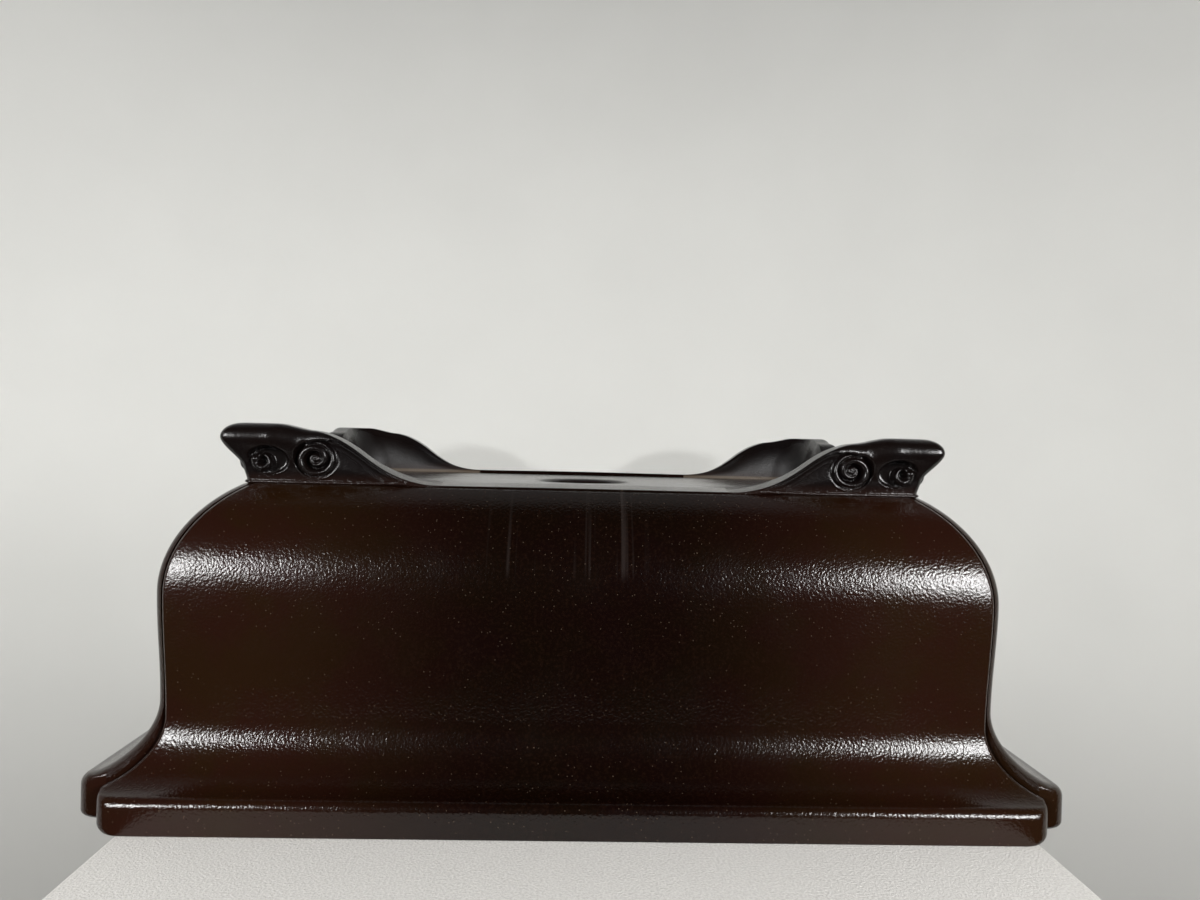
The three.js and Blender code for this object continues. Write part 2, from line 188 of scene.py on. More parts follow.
def object_from(name, bm, finish=None):
    """An object at the origin, with the bmesh as its mesh."""
    mesh = bpy.data.meshes.new(name)
    bm.to_mesh(mesh)
    bm.free()
    if finish:
        mesh.materials.append(finish)
    made = bpy.data.objects.new(name, mesh)
    bpy.context.scene.collection.objects.link(made)
    return made


def finish_piece(name, bm, finish, replaces, crease=35.0):
    """Makes a piece of the pot, smooth but for its creases, and hides the solids it replaces."""
    for edge in bm.edges:
        edge.smooth = edge.calc_face_angle(0.0) < math.radians(crease)
    for face in bm.faces:
        face.smooth = True
    piece = object_from(name, bm, finish)
    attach(piece, "root")
    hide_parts(*replaces)
    print(f"{name}: {len(piece.data.polygons)} faces")


# %% [markdown]
# ## Writing shader maths as Python
#
# A finish is a chain of nodes. To keep it readable, one small class wraps a socket, so that
# `1 - mask * 0.3` adds its own Math nodes, and one method adds any other node. Colours are mixed
# with Mix nodes, because a Math node would turn them grey.

# %% Shader helpers


class Value:
    """A number that varies over the surface, held by a node's output."""

    def __init__(self, finish, socket):
        self.finish = finish
        self.socket = socket

    def worked(self, operation, *numbers):
        """A Math node on these numbers."""
        return self.finish.node("ShaderNodeMath", {"operation": operation}, dict(enumerate(numbers)))

    def __add__(self, other):
        return self.worked("ADD", self, other)

    __radd__ = __add__

    def __sub__(self, other):
        return self.worked("SUBTRACT", self, other)

    def __rsub__(self, other):
        return self.worked("SUBTRACT", other, self)

    def __mul__(self, other):
        return self.worked("MULTIPLY", self, other)

    __rmul__ = __mul__

    def __abs__(self):
        return self.worked("ABSOLUTE", self)

    def under(self, edge):
        """1 where the number is below the edge, and 0 elsewhere."""
        return self.worked("LESS_THAN", self, edge)

    def ramp(self, start, end):
        """0 below start, 1 above end, and a smooth rise between them."""
        settings = {"interpolation_type": "SMOOTHSTEP"}
        inputs = {"Value": self, "From Min": start, "From Max": end}
        return self.finish.node("ShaderNodeMapRange", settings, inputs)


class Finish:
    """A material with a Principled BSDF, to which nodes are added one by one."""

    def __init__(self, name):
        self.material = bpy.data.materials.new(name)
        self.material.use_nodes = True
        self.tree = self.material.node_tree
        self.shader = self.tree.nodes["Principled BSDF"]
        self.place = self.node("ShaderNodeTexCoord", {}, {}, "Object")
        axes = self.node("ShaderNodeSeparateXYZ", {}, {"Vector": self.place}, None)
        self.x, self.y, self.z = (Value(self, out) for out in axes.outputs)

    def node(self, kind, settings, inputs, output=0):
        """Adds a node: its settings first, then the values or links of its sockets."""
        made = self.tree.nodes.new(kind)
        for name, setting in settings.items():
            setattr(made, name, setting)
        for name, value in inputs.items():
            self.feed(made.inputs[name], value)
        return made if output is None else Value(self, made.outputs[output])

    def feed(self, socket, value):
        if isinstance(value, Value):
            self.tree.links.new(value.socket, socket)
        else:
            socket.default_value = value

    def set(self, **sockets):
        """Feeds the shader's own sockets: base_color stands for Base Color."""
        for name, value in sockets.items():
            self.feed(self.shader.inputs[name.replace("_", " ").title().replace("Ior", "IOR")], value)

    def stretched(self, x, y, z):
        """The place on the surface, with each axis scaled."""
        return self.node("ShaderNodeMapping", {}, {"Vector": self.place, "Scale": (x, y, z)})

    def shifted(self, x):
        """The place on the surface, moved along X, to another stretch of a pattern."""
        return self.node("ShaderNodeMapping", {}, {"Vector": self.place, "Location": (x, 0, 0)})

    def noise(self, scale, detail=2.0, roughness=0.5, place=None, seed=0.0):
        settings = {"noise_dimensions": "4D"}
        inputs = {"Vector": place or self.place, "W": seed, "Scale": scale}
        inputs.update({"Detail": detail, "Roughness": roughness})
        return self.node("ShaderNodeTexNoise", settings, inputs)

    def cells(self, scale, output="Distance", place=None):
        inputs = {"Vector": place or self.place, "Scale": scale}
        return self.node("ShaderNodeTexVoronoi", {}, inputs, output)

    def mix(self, factor, first, second):
        """A colour between two colours, by a factor from 0 to 1."""
        made = self.node("ShaderNodeMix", {"data_type": "RGBA"}, {}, None)
        by_name = {socket.identifier: socket for socket in made.inputs}
        self.feed(by_name["Factor_Float"], factor)
        self.feed(by_name["A_Color"], first)
        self.feed(by_name["B_Color"], second)
        outputs = {socket.identifier: socket for socket in made.outputs}
        return Value(self, outputs["Result_Color"])

    def bump(self, height, distance, normal=None):
        """Turns a height from 0 to 1 into dents and bumps of that depth in metres."""
        inputs = {"Height": height, "Distance": distance, "Strength": 1.0}
        if normal is not None:
            inputs["Normal"] = normal
        return self.node("ShaderNodeBump", {}, inputs)


def paint(red, green, blue):
    return (red, green, blue, 1.0)


def count_nodes(finish):
    print(f"{finish.material.name}: {len(finish.tree.nodes)} nodes so far")


# %% [markdown]
# ## The glaze
#
# The body is a very dark chocolate brown, almost black, with a satin gloss. Three things make it
# look fired and not painted: bumps about a millimetre wide that break up each highlight, as on an
# orange's skin; slow drifts of hue between reddish and olive brown; and tiny pale specks of grog.
# Towards the ends the brown is painted a little lighter and warmer, as painted light from the side
# lamps. Near the front's middle a few pale runs come down from the shoulder. All are noises on the
# object's own coordinates, so they stay put when the view turns.

# %% Colour of the glaze
glaze = Finish("brown_glaze")
drift = glaze.noise(22.0, 4.0, 0.6, seed=1.0).ramp(0.40, 0.62)
middle_glaze = glaze.mix(drift, paint(0.0040, 0.0009, 0.0005), paint(0.0037, 0.0013, 0.0003))
# Painted light: the ends are painted a lighter, warmer brown than the middle, in place of the side
# lamps' light there.
painted_lit_glaze = glaze.mix(drift, paint(0.0170, 0.0050, 0.0026), paint(0.0160, 0.0064, 0.0020))
painted_end_light = abs(glaze.x).ramp(0.03, 0.17)
glaze_color = glaze.mix(painted_end_light, middle_glaze, painted_lit_glaze)
grain = glaze.noise(700.0, 3.0, seed=2.0).ramp(0.45, 0.75)
glaze_color = glaze.mix(grain * 0.4, glaze_color, paint(0.016, 0.0065, 0.0035))
count_nodes(glaze)

# %% Specks of grog
grog = paint(0.085, 0.06, 0.042)
fine_specks = {"scale": 400.0, "size": 0.10, "bare": 0.35, "shift": 40.0}
coarse_specks = {"scale": 150.0, "size": 0.05, "bare": 0.60, "shift": 90.0}
for specks in (fine_specks, coarse_specks):
    place = glaze.shifted(specks["shift"])
    centres = glaze.cells(specks["scale"], place=place).under(specks["size"])
    chosen = glaze.cells(specks["scale"], "Color", place).ramp(specks["bare"], specks["bare"] + 0.02)
    glaze_color = glaze.mix(centres * chosen * 0.7, glaze_color, grog)
count_nodes(glaze)

# %% Pale runs down the front's middle
run_lines = glaze.noise(1.0, 2.0, 0.6, glaze.stretched(250.0, 1.0, 5.0), 4.0).ramp(0.56, 0.72)
on_front = glaze.y.under(-0.06)
upper_part = glaze.z.ramp(0.108, 0.116)
middle = glaze.x.ramp(-0.060, -0.030) * (1 - glaze.x.ramp(0.015, 0.035))
runs = run_lines * on_front * upper_part * middle
glaze_color = glaze.mix(runs * 0.18, glaze_color, paint(0.085, 0.068, 0.062))
count_nodes(glaze)

# %% Gloss and orange peel
peel_depth, wave_depth = 0.00020, 0.00006  # metres
peel = glaze.noise(820.0, 2.0, 0.5, seed=5.0)
slow_waves = glaze.noise(60.0, 2.0, seed=6.0)
dull_patches = glaze.noise(35.0, 3.0, seed=7.0).ramp(0.35, 0.75)
glaze_gloss = 0.145 + dull_patches * 0.05
glaze_normal = glaze.bump(peel, peel_depth, glaze.bump(slow_waves, wave_depth))
glaze.set(base_color=glaze_color, roughness=glaze_gloss, normal=glaze_normal, ior=1.47)
count_nodes(glaze)

# %% [markdown]
# ## The feet's finish
#
# The feet come out of a mould and are handled more, so they are duller than the walls, with small
# pits and a warmer brown near the root. Their inner sides are duller still, with a pale line of slip
# where they join the floor. Only the numbers differ from the glaze's, so the same steps are used.

# %% Colour of the moulded clay
moulded = Finish("moulded_clay")
foot_drift = moulded.noise(30.0, 3.0, seed=11.0).ramp(0.4, 0.65)
foot_grain = moulded.noise(700.0, 3.0, seed=12.0).ramp(0.5, 0.8)
foot_color = moulded.mix(foot_drift, paint(0.0036, 0.0022, 0.0022), paint(0.0044, 0.0022, 0.0017))
foot_color = moulded.mix(foot_grain * 0.3, foot_color, paint(0.016, 0.011, 0.010))
by_the_root = 1 - moulded.z.ramp(0.1515, 0.1570)
foot_color = moulded.mix(by_the_root * 0.8, foot_color, paint(0.013, 0.0050, 0.0032))
inner_side = (1 - abs(moulded.x).ramp(0.150, 0.160)) * (1 - abs(moulded.y).ramp(0.086, 0.094))
joint = inner_side * (1 - moulded.z.ramp(0.1510, 0.1524))
foot_color = moulded.mix(joint * 0.6, foot_color, paint(0.13, 0.095, 0.06))
count_nodes(moulded)

# %% Skin of the moulded clay
dent_depth, skin_depth = 0.00018, 0.00014  # metres
dents = moulded.noise(150.0, 2.0, seed=14.0)
pits = 1 - moulded.cells(900.0).ramp(0.10, 0.42)
foot_skin = moulded.noise(900.0, 3.0, 0.6, seed=13.0) - pits * by_the_root * 0.8
foot_normal = moulded.bump(foot_skin, skin_depth, moulded.bump(dents, dent_depth))
handled = moulded.noise(60.0, 3.0, seed=15.0).ramp(0.35, 0.75)
foot_gloss = 0.22 + handled * 0.05 + inner_side * 0.28
moulded.set(base_color=foot_color, roughness=foot_gloss, normal=foot_normal, ior=1.5)
count_nodes(moulded)

# %% [markdown]
# ## Bare clay
#
# Inside, the coils that seal the corners are smeared with a finger and left unglazed.

# %% Bare clay
grain_depth, finger_depth = 0.00012, 0.0008  # metres
bare = Finish("bare_clay")
bare_drift = bare.noise(40.0, 4.0, seed=21.0).ramp(0.35, 0.7)
bare_grain = bare.noise(1500.0, 2.0, seed=22.0).ramp(0.55, 0.75)
bare_color = bare.mix(bare_drift, paint(0.052, 0.026, 0.017), paint(0.085, 0.046, 0.030))
bare_color = bare.mix(bare_grain * 0.5, bare_color, paint(0.16, 0.10, 0.07))
finger_marks = bare.noise(1.0, 2.0, 0.5, bare.stretched(30.0, 30.0, 160.0), 23.0)
bare_skin = bare.noise(1200.0, 3.0, seed=24.0)
bare_normal = bare.bump(bare_skin, grain_depth, bare.bump(finger_marks, finger_depth))
bare.set(base_color=bare_color, roughness=0.85, normal=bare_normal)
count_nodes(bare)

# %% [markdown]
# ## Walls and lip
#
# Each side is a slab bent over a former: it flares out at the lip, narrows to a waist, swells to a
# belly and rolls over at the shoulder. The profile is drawn as insets from the rim's outer face, one
# for the outside and one for the inside, and the slab is folded level by level. A slab is narrower
# than the side, so the corner shows a step, and its upright edge is rounded.

# %% The wall's profile


def side_form(waist, top, arris, mouth, end_mouth, step, end_round):
    """One side's profile and ends. The flare is the circle from the lip's arris to the waist."""
    reach, rise = lip_projection - arris, waist - top
    form = {"waist": waist, "top": top, "arris": arris, "mouth": mouth, "end_mouth": end_mouth}
    form.update({"flare": (reach**2 + rise**2) / (2 * reach), "step": step, "end_round": end_round})
    return form


# The short sides have the thicker lip. Their rounder ends show at the front as a narrow strip.
long_side = side_form(44.0, 16.2, arris=4.7, mouth=0.8, end_mouth=4.5, step=5.9, end_round=2.0)
short_side = side_form(49.4, lip_top, arris=5.5, mouth=4.2, end_mouth=3.0, step=3.4, end_round=7.0)
print(f"flare radii {long_side['flare']:.1f} and {short_side['flare']:.1f} mm")


def flare_inset(z, side, thickness=0.0):
    """Inset of the flare's circle, or of the one at that thickness behind it."""
    radius = side["flare"]
    return lip_projection - radius + math.sqrt((radius + thickness) ** 2 - (side["waist"] - z) ** 2)


def outer_inset(z, side):
    if z < side["waist"]:
        return flare_inset(z, side)
    if z < shoulder_start:
        rise = smoothstep(side["waist"], shoulder_start, z)
        return lerp(lip_projection, belly_inset, rise)
    return shoulder_centre - math.sqrt(shoulder_radius**2 - (z - shoulder_start) ** 2)


def inner_inset(z):
    if z < long_side["waist"]:
        return flare_inset(max(z, long_side["top"]), long_side, clay)
    if z < shoulder_start:
        return outer_inset(z, long_side) + clay
    rise = min(z, floor_inside) - shoulder_start
    inset = shoulder_centre - math.sqrt((shoulder_radius - clay) ** 2 - rise**2)
    return min(inset, seat_inset) if z < floor_inside else seat_inset


def rounding(z, radius):
    """How far a quarter round of that radius is set back at height z."""
    return radius - math.sqrt(radius**2 - (radius - z) ** 2) if z < radius else 0.0


ROUND_STEPS, ARRIS_STEPS, FLARE_STEPS, BELLY_STEPS, SHOULDER_STEPS = 8, 9, 28, 14, 28


def round_heights(radius):
    """Heights along a quarter round that starts at the rim plane."""
    angles = spread(0, math.pi / 2, ROUND_STEPS)
    return [round(radius * (1 - math.cos(angle)), 4) for angle in angles]


def side_levels(side):
    """Height, outer inset and inner inset of each level, from the rim plane to the base edge."""
    levels = []
    for z in sorted({*round_heights(side["mouth"]), *round_heights(side["end_mouth"])}):
        levels.append((z, rounding(z, side["mouth"]), inner_inset(0) - max(0.0, inner_bevel - z)))
    for angle in spread(0, math.pi / 2, ARRIS_STEPS):
        z = side["top"] - side["arris"] * (1 - math.sin(angle))
        levels.append((z, side["arris"] * (1 - math.cos(angle)), inner_inset(z)))
    flare_angle = math.asin((side["waist"] - side["top"]) / side["flare"])
    shoulder_angle = math.asin((body_height - shoulder_start) / shoulder_radius)
    heights = []
    for angle in spread(flare_angle, 0, FLARE_STEPS)[1:]:
        heights.append(side["waist"] - side["flare"] * math.sin(angle))
    heights += spread(side["waist"], shoulder_start, BELLY_STEPS)[1:]
    for angle in spread(0, shoulder_angle, SHOULDER_STEPS)[1:]:
        heights.append(shoulder_start + shoulder_radius * math.sin(angle))
    return levels + [(z, outer_inset(z, side), inner_inset(z)) for z in heights]


# %% Fold the four sides
END_STEPS = 8
FACE_STEPS = 40


def end_form(z, outer, side):
    """The end's step and rounding at one level, and how far the rounding turns before the mitre."""
    growth = max(0.0, lip_step - side["step"] - outer)
    if z < side["top"] - side["arris"]:
        growth = lip_step - side["step"] + rounding(z, side["end_mouth"])
    step = side["step"] + growth
    share = min(1.0, growth / (lip_step - side["step"]))
    radius = lerp(side["end_round"], lip_corner, share)
    if radius <= step:
        return step, radius, math.pi / 2, step
    turn = math.pi / 4 + math.asin(step / (radius * math.sqrt(2)))
    return step, radius, turn, radius * (1 - math.cos(turn))


def plan_ring(long, short, z, outer, inner, side):
    """The slab's outline at one level, for the side that faces -Y of a pot of these half sizes."""
    step, radius, turn, mitre = end_form(z, outer, side)
    end, face = long - outer - step, short - outer
    corner = []
    for angle in spread(0, turn, END_STEPS):
        x, y = end - radius + radius * math.sin(angle), -face + radius - radius * math.cos(angle)
        corner.append((x, y, z))
    corner.append((long - outer - mitre, -face + mitre, z))
    ring = [(-x, y, z) for x, y, z in reversed(corner)]
    ring += [(x, -face, z) for x in spread(-end + radius, end - radius, FACE_STEPS)[1:-1]]
    ring += corner
    ring += [(x, -(short - inner), z) for x in spread(long - inner, -(long - inner), FACE_STEPS)]
    return ring + ring[:1]


def fold_side(long, short, side):
    return fold([plan_ring(long, short, *level, side) for level in side_levels(side)])


def turn_about_z(bm, degrees):
    turn = Matrix.Rotation(math.radians(degrees), 3, "Z")
    bmesh.ops.rotate(bm, verts=bm.verts, cent=(0, 0, 0), matrix=turn)


SIDES = {"front": 0, "right": 90, "back": 180, "left": 270}
for side, degrees in SIDES.items():
    if side in ("front", "back"):
        slab = fold_side(half_length, half_width, long_side)
    else:
        slab = fold_side(half_width, half_length, short_side)
    turn_about_z(slab, degrees)
    finish_piece(f"side_{side}", slab, glaze.material, [f"wall_{side}", f"lip_{side}"])

# %% [markdown]
# ## The floor
#
# The floor slab is seen from below, at a glancing angle. It is a plate with the drain hole in the
# middle and four small holes for tie wires. A Boolean with a turned cutter is the simplest way: the
# cutter's profile is spun about the hole's axis, so the hole's mouth comes out rounded.

# %% Cutters for the holes
drain_bore, drain_flare = 24.0, 7.0
wire_bore, wire_flare = 2.5, 1.0
wire_x, wire_y = 96.0, 42.0
past = 2.0  # how far a cutter stands out of the slab
DRAIN_STEPS, WIRE_STEPS, MOUTH_STEPS = 64, 24, 10


def spun_cutter(bore, flare, steps):
    """A cutter about the Z axis, straight inside and flaring out at the upper face."""
    below, above = floor_inside - past, body_height + past
    profile = [(0, below), (bore, below)]
    for angle in spread(0, math.pi / 2, MOUTH_STEPS):
        across = bore + flare * (1 - math.cos(angle))
        profile.append((across, body_height - flare * (1 - math.sin(angle))))
    profile += [(bore + flare, above), (0, above)]
    bm = bmesh.new()
    verts = [bm.verts.new(Vector((x, 0, z)) * MM) for x, z in profile]
    edges = [bm.edges.new(pair) for pair in zip(verts, verts[1:])]
    turn = {"cent": (0, 0, 0), "axis": (0, 0, 1), "angle": 2 * math.pi}
    bmesh.ops.spin(bm, geom=verts + edges, steps=steps, use_merge=True, **turn)
    bmesh.ops.remove_doubles(bm, verts=bm.verts, dist=WELD)
    bmesh.ops.recalc_face_normals(bm, faces=bm.faces)
    return bm


cutters = [object_from("drain_cutter", spun_cutter(drain_bore, drain_flare, DRAIN_STEPS))]
for x in (-wire_x, wire_x):
    for y in (-wire_y, wire_y):
        hole = spun_cutter(wire_bore, wire_flare, WIRE_STEPS)
        bmesh.ops.translate(hole, verts=hole.verts, vec=Vector((x, y, 0)) * MM)
        cutters.append(object_from("wire_cutter", hole))
print("cutters:", len(cutters))

# %% Floor slab


def box_between(low_corner, high_corner):
    """A box between two corners, in metres."""
    bm = bmesh.new()
    bmesh.ops.create_cube(bm, size=1.0)
    bmesh.ops.scale(bm, verts=bm.verts, vec=high_corner - low_corner)
    bmesh.ops.translate(bm, verts=bm.verts, vec=(low_corner + high_corner) / 2)
    return bm


def cut(bm, cutters):
    """The form with each cutter taken out of it. The cutters are used up."""
    blank = object_from("blank", bm)
    for cutter in cutters:
        modifier = blank.modifiers.new("cut", "BOOLEAN")
        modifier.operation = "DIFFERENCE"
        modifier.solver = "EXACT"
        modifier.object = cutter
    graph = bpy.context.evaluated_depsgraph_get()
    result = bmesh.new()
    result.from_mesh(blank.evaluated_get(graph).to_mesh())
    for used in (blank, *cutters):
        bpy.data.objects.remove(used)
    return result


slab = cut(box_between(*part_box("floor_slab")), cutters)
finish_piece("floor", slab, glaze.material, ["floor_slab"])

# %% [markdown]
# ## The feet
#
# The feet are the hardest forms. Each is a moulded corner: two plates whose outer face curls out to
# a toe, and whose edge falls in one long curve to the ribbon between the feet. The plates are one
# sheet folded round its section, which changes from station to station: at the toe it is thick and
# round, and at the tail it is the ribbon's own section, so that the two meet without a seam.

# %% The edge of an arm
crown_at, crown_drop = 34.8, 3.1
fall_drop = 14.0
sole_flat = 16.5
front_tail, side_tail = 37.5, 27.0
past_corner = 50.0  # the sole's height is known this far past the corner
CURVE_POINTS = 24


def edge_curve(arm, tail):
    """Points of the arm's edge: (distance from the corner, height above the base edge)."""
    fall, fall_height = arm - tail, foot_height - fall_drop
    crown = foot_height - crown_drop
    to_crown = [
        (sole_flat, foot_height), (sole_flat + 5.5, foot_height),
        (crown_at - 6.5, crown + 0.5), (crown_at, crown),
    ]
    to_fall = [
        (crown_at, crown), (crown_at + 8.5, crown - 0.6),
        (fall - 7.5, fall_height + 5.7), (fall, fall_height),
    ]
    to_ribbon = [
        (fall, fall_height), (fall + 0.25 * tail, fall_height - 7.2),
        (arm - 0.45 * tail, rail_height), (arm, rail_height),
    ]
    points = [Vector((-past_corner, foot_height))]
    for curve in (to_crown, to_fall, to_ribbon):
        start, leave, arrive, end = (Vector(point) for point in curve)
        points += interpolate_bezier(start, leave, arrive, end, CURVE_POINTS)
    return [(point.x, point.y) for point in points]


def read_line(line, at):
    """The value of a line of (place, value) points at one place."""
    for (x0, y0), (x1, y1) in zip(line, line[1:]):
        if at <= x1 and x1 > x0:
            return lerp(y0, y1, max(0.0, (at - x0) / (x1 - x0)))
    return line[-1][1]


front_edge = edge_curve(front_arm, front_tail)
side_edge = edge_curve(side_arm, side_tail)
print(f"arms {front_arm:.1f} and {side_arm:.1f} mm long, edges of {len(front_edge)} points")

# %% The face of a foot
FACE_POINTS = 76
toe_drop, toe_turn = 6.9, 8.6  # rounding of the toe, in height and depth
arm_reach = 4.6  # how far the arm's edge stands out past the root
arm_round = 1.1  # rounding of that edge
rail_round = 1.5
channel = 4.4  # height of the hollow under the arm's edge
channel_least = 0.5
line_high, line_wide = 0.5, 0.9  # fine raised line below the hollow
arm_lean = 0.45  # how far the face leans out below the hollow, as a share of its reach
root_tuck = 1.3
tuck_share = 0.4  # of the face's height, over which it comes out again
bead = 0.75  # radius of the roll of clay along the root

cove = [Vector((0.345, 0)), Vector((0.5, 0)), Vector((0.80, 1)), Vector((1, 1))]
cove_line = [(0.0, 0.0)] + [(point.x, point.y) for point in interpolate_bezier(*cove, 60)]
print("points of the cove's curve:", len(cove_line))


def face_out(up, tip, reach, soft, deep, line, tuck):
    """How far the face stands out from the root line, at one height."""
    swell = reach * read_line(cove_line, up / tip)
    below = tip - up
    lean = arm_lean * reach * (min(up, tip - deep) / tip) ** 2
    hollow = lean
    if below < deep:
        hollow = lerp(lean, reach, 1 - math.sqrt(1 - (1 - below / deep) ** 2))
    elif below < deep + line_wide:
        hollow = lean + line * math.sin(math.pi * (below - deep) / line_wide)
    out = lerp(hollow, swell, soft) - tuck * (1 - smoothstep(0.0, tuck_share, up / tip))
    off = (up - bead) / bead
    if abs(off) < 1:
        out += bead * math.sqrt(1 - off * off) * tuck / root_tuck
    return out


# %% The section of a foot
TURN_POINTS = 12
TOP_POINTS = 8
BACK_POINTS = 12
arm_wide, land_wide, foot_wide = 8.0, 15.0, 15.5  # depths of an arm, a ribbon and a foot's root
back_round = 1.2
back_curve = 2.5  # how quickly the back slopes in below the edge
top_slope = 5.0  # degrees by which a ribbon's top falls outwards

# Stretches of an arm, as distances from the corner
toe_thins, toe_ends, toe_thinning = (3.0, 17.0), (17.0, 29.0), 0.3
soft_ends = (28.0, 50.0)
channel_starts = (30.0, 54.0)
line_starts = (44.0, 50.0)

# Shares of the way from the ribbon's height to the toe's
tail_ends, land_ends = 0.22, 0.45
reach_grows = (-0.25, 0.75)


def foot_section(height, along):
    """The closed outline (out, up) of a foot: face, edge, top, back and bottom."""
    share = (height - rail_height) / (foot_height - rail_height)
    toe = 1 - toe_thinning * smoothstep(*toe_thins, along)
    toe -= (1 - toe_thinning) * smoothstep(*toe_ends, along)
    soft = 1 - smoothstep(*soft_ends, along)
    tail = 1 - smoothstep(0.0, tail_ends, share)
    reach = lerp(arm_reach, toe_reach, toe) * smoothstep(*reach_grows, share) * (1 - tail)
    tuck = root_tuck * (1 - tail)
    wide = lerp(arm_wide, land_wide, 1 - smoothstep(0.0, land_ends, share))
    rise = wide * math.tan(math.radians(top_slope * (1 - share)))
    front = height - min(rise, 0.6 * height)
    drop = lerp(lerp(arm_round, toe_drop, soft), min(rail_round, 0.8 * front), tail)
    depth = lerp(lerp(arm_round, toe_turn * reach / toe_reach, soft), rail_round, tail)
    tip = front - drop
    deep = min(channel * smoothstep(*channel_starts, along) + channel_least, 0.8 * tip)
    line = line_high * smoothstep(*line_starts, along) * smoothstep(0.5, 3.0, reach)
    section = []
    for i in range(FACE_POINTS):
        up = tip * i / FACE_POINTS
        section.append((face_out(up, tip, reach, soft, deep, line, tuck), up))
    for angle in spread(0, math.pi / 2, TURN_POINTS):
        section.append((reach - depth * (1 - math.cos(angle)), tip + drop * math.sin(angle)))
    return section + inside_of_section(section[-1][0], front, height, wide, tuck)


def inside_of_section(start, front, height, wide, tuck):
    """The rest of the outline: the top, the rounded inner edge, the back and the bottom."""
    back = min(back_round, 0.4 * height)
    inside = []
    for t in spread(0, 1, TOP_POINTS)[1:]:
        inside.append((lerp(start, back - wide, t), lerp(front, height, t)))
    for angle in spread(0, math.pi / 2, 4)[1:]:
        inside.append((back - wide - back * math.sin(angle), height - back * (1 - math.cos(angle))))
    for t in spread(0, 1, BACK_POINTS)[1:]:
        inside.append((-lerp(foot_wide, wide, (1 - t) ** back_curve), (height - back) * (1 - t)))
    return inside + [(out, 0.0) for out in spread(-foot_wide, -tuck, 6)[1:]]


print("points round a foot's section:", len(foot_section(foot_height, 0.0)))

# %% [markdown]
# ## The scrolls
#
# Each face carries two volutes in sunken bowls. A volute is a cord wound in a flat spiral, like a
# snail: a small curl in the middle, a broad turn round it, and a last turn that thins out into a fine
# rim. On the folded sheet it can be pushed out of the face as a height: the distance from a point to
# the nearest turn of the spiral gives the cord's round back.

# %% The two scrolls
GROUND = 0.3
scroll_up = (foot_height - crown_drop) / 2

# A cord is given by turns from the top towards the foot's corner, distances from the middle and
# half widths.
large_cord = [
    (-1.50, 0.6, 1.3), (-1.0, 1.9, 1.4), (-0.62, 2.5, 1.5), (-0.36, 3.4, 1.6), (-0.12, 5.2, 2.0),
    (0.10, 6.6, 2.4), (0.25, 7.2, 2.4), (0.50, 7.2, 2.0), (0.75, 8.2, 1.6), (1.0, 8.8, 1.0),
    (1.12, 9.1, 0.6),
]
small_cord = [
    (0.02, 2.7, 0.9), (0.15, 3.0, 1.9), (0.27, 3.4, 2.4), (0.4, 3.8, 2.3), (0.5, 4.1, 2.4),
    (0.62, 3.8, 2.1), (0.75, 3.3, 1.6), (0.9, 3.0, 1.1), (1.0, 2.7, 0.8),
]

# Balls are placed from the scroll's middle. A bowl deepens by its tilt towards the corner.
large = {
    "x": 36.5, "up": scroll_up - 0.9, "cord": large_cord, "balls": [(0.0, 0.0, 1.8)],
    "bowl": (10.8, 9.4), "bowl_x": 36.8, "bowl_up": scroll_up - 1.2, "depth": 1.4, "tilt": 0.15,
}
small = {
    "x": 10.7, "up": scroll_up - 1.8, "cord": small_cord, "balls": [(-3.2, 0.6, 2.9)],
    "bowl": (9.4, 6.8), "bowl_x": 13.7, "bowl_up": scroll_up - 1.9, "depth": 2.3, "tilt": -0.18,
}
print(f"the large scroll makes {large_cord[-1][0] - large_cord[0][0]:.1f} turns")

# %% Relief of the scrolls
SQUASH = 1.08  # the scrolls are a little lower than they are wide
cord_proud, ball_proud = 0.6, 0.8  # how far a cord and a ball stand higher than a half round
bowl_rim = (0.97, 1.07)  # where a bowl's floor ends and its rim is over, in shares of its size
bowl_steep = 12  # the higher this power, the flatter the bowl's floor and the steeper its side
bowl_drop = 0.08  # by how much a bowl deepens towards the root


def cord_height(scroll, x, up, hollow):
    """How far the wound cord and its balls stand out, or the hollow they lie in."""
    dx, dz = x - scroll["x"], (up - scroll["up"]) * SQUASH
    radius = math.hypot(dx, dz)
    turn = math.atan2(-dx, dz) / (2 * math.pi)
    cord = scroll["cord"]
    height = hollow
    for wound in (turn - 2, turn - 1, turn, turn + 1, turn + 2):
        if cord[0][0] <= wound <= cord[-1][0]:
            line = read_line([(t, r) for t, r, half in cord], wound)
            half = read_line([(t, half) for t, r, half in cord], wound)
            off = abs(radius - line) / half
            if off < 1:
                top = GROUND + cord_proud + half
                height = max(height, lerp(hollow, top, math.sqrt(1 - off * off)))
    for ball_x, ball_up, size in scroll["balls"]:
        off = math.hypot(dx - ball_x, dz - ball_up) / size
        if off < 1:
            top = GROUND + ball_proud + size
            height = max(height, lerp(hollow, top, math.sqrt(1 - off * off)))
    return height


def sculpt(x, up, out):
    """The face's reach at a point, with its bowls sunk and its scrolls raised."""
    for scroll in (large, small):
        wide, tall = scroll["bowl"]
        off = math.hypot((x - scroll["bowl_x"]) / wide, (up - scroll["bowl_up"]) / tall)
        if off < bowl_rim[1]:
            inside = 1 - smoothstep(*bowl_rim, off)
            depth = scroll["depth"] + scroll["tilt"] * (scroll["bowl_x"] - x)
            depth += bowl_drop * (scroll["bowl_up"] - up)
            hollow = GROUND - depth * (1 - min(1.0, off) ** bowl_steep)
            out = lerp(out, cord_height(scroll, x, up, hollow), inside)
    return out


print(f"the large scroll's middle stands out {sculpt(large['x'], large['up'], 0.0):.1f} mm")

